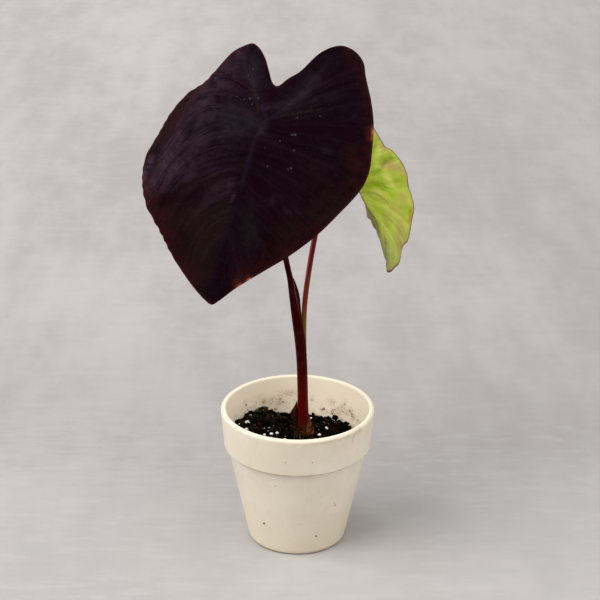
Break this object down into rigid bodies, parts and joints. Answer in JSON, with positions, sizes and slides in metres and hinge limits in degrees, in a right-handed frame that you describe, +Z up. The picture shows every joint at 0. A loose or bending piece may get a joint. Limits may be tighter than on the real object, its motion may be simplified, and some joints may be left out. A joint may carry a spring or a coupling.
{
  "type": "potted elephant ear plant",
  "caption": "Potted elephant ear with a large near-black heart-shaped leaf and a smaller drooping yellow-green leaf, in a plain cream ceramic pot.",
  "frame": {"origin": "centre of the pot's flat base, on the surface it stands on", "axes": "+Z up along the pot's axis, -Y is the side that the dark leaf faces, +X towards the pale leaf"},
  "size_m": [0.1958, 0.1147, 0.3774],
  "materials": {
    "pot": "matte",
    "soil": "matte",
    "corm": "matte",
    "petiole_dark": "satin",
    "petiole_red": "satin",
    "leaf_dark": "satin",
    "leaf_pale": "satin",
    "dry_sheath": "matte",
    "perlite": "matte",
    "moss": "matte"
  },
  "bodies": {
    "root": {"pot": "pot", "soil": "soil", "corm": "corm", "petiole_main": "petiole_dark", "petiole_second": "petiole_red", "leaf_main": "leaf_dark", "leaf_second": "leaf_pale", "old_sheath_left": "dry_sheath", "old_sheath_right": "dry_sheath", "perlite_01": "perlite", "perlite_02": "perlite", "perlite_03": "perlite", "perlite_04": "perlite", "perlite_05": "perlite", "perlite_06": "perlite", "perlite_07": "perlite", "perlite_08": "perlite", "perlite_09": "perlite", "perlite_10": "perlite", "perlite_11": "perlite", "perlite_12": "perlite", "soil_clod_back": "soil", "soil_clod_right": "soil", "moss_patch": "moss"}
  },
  "joints": []
}
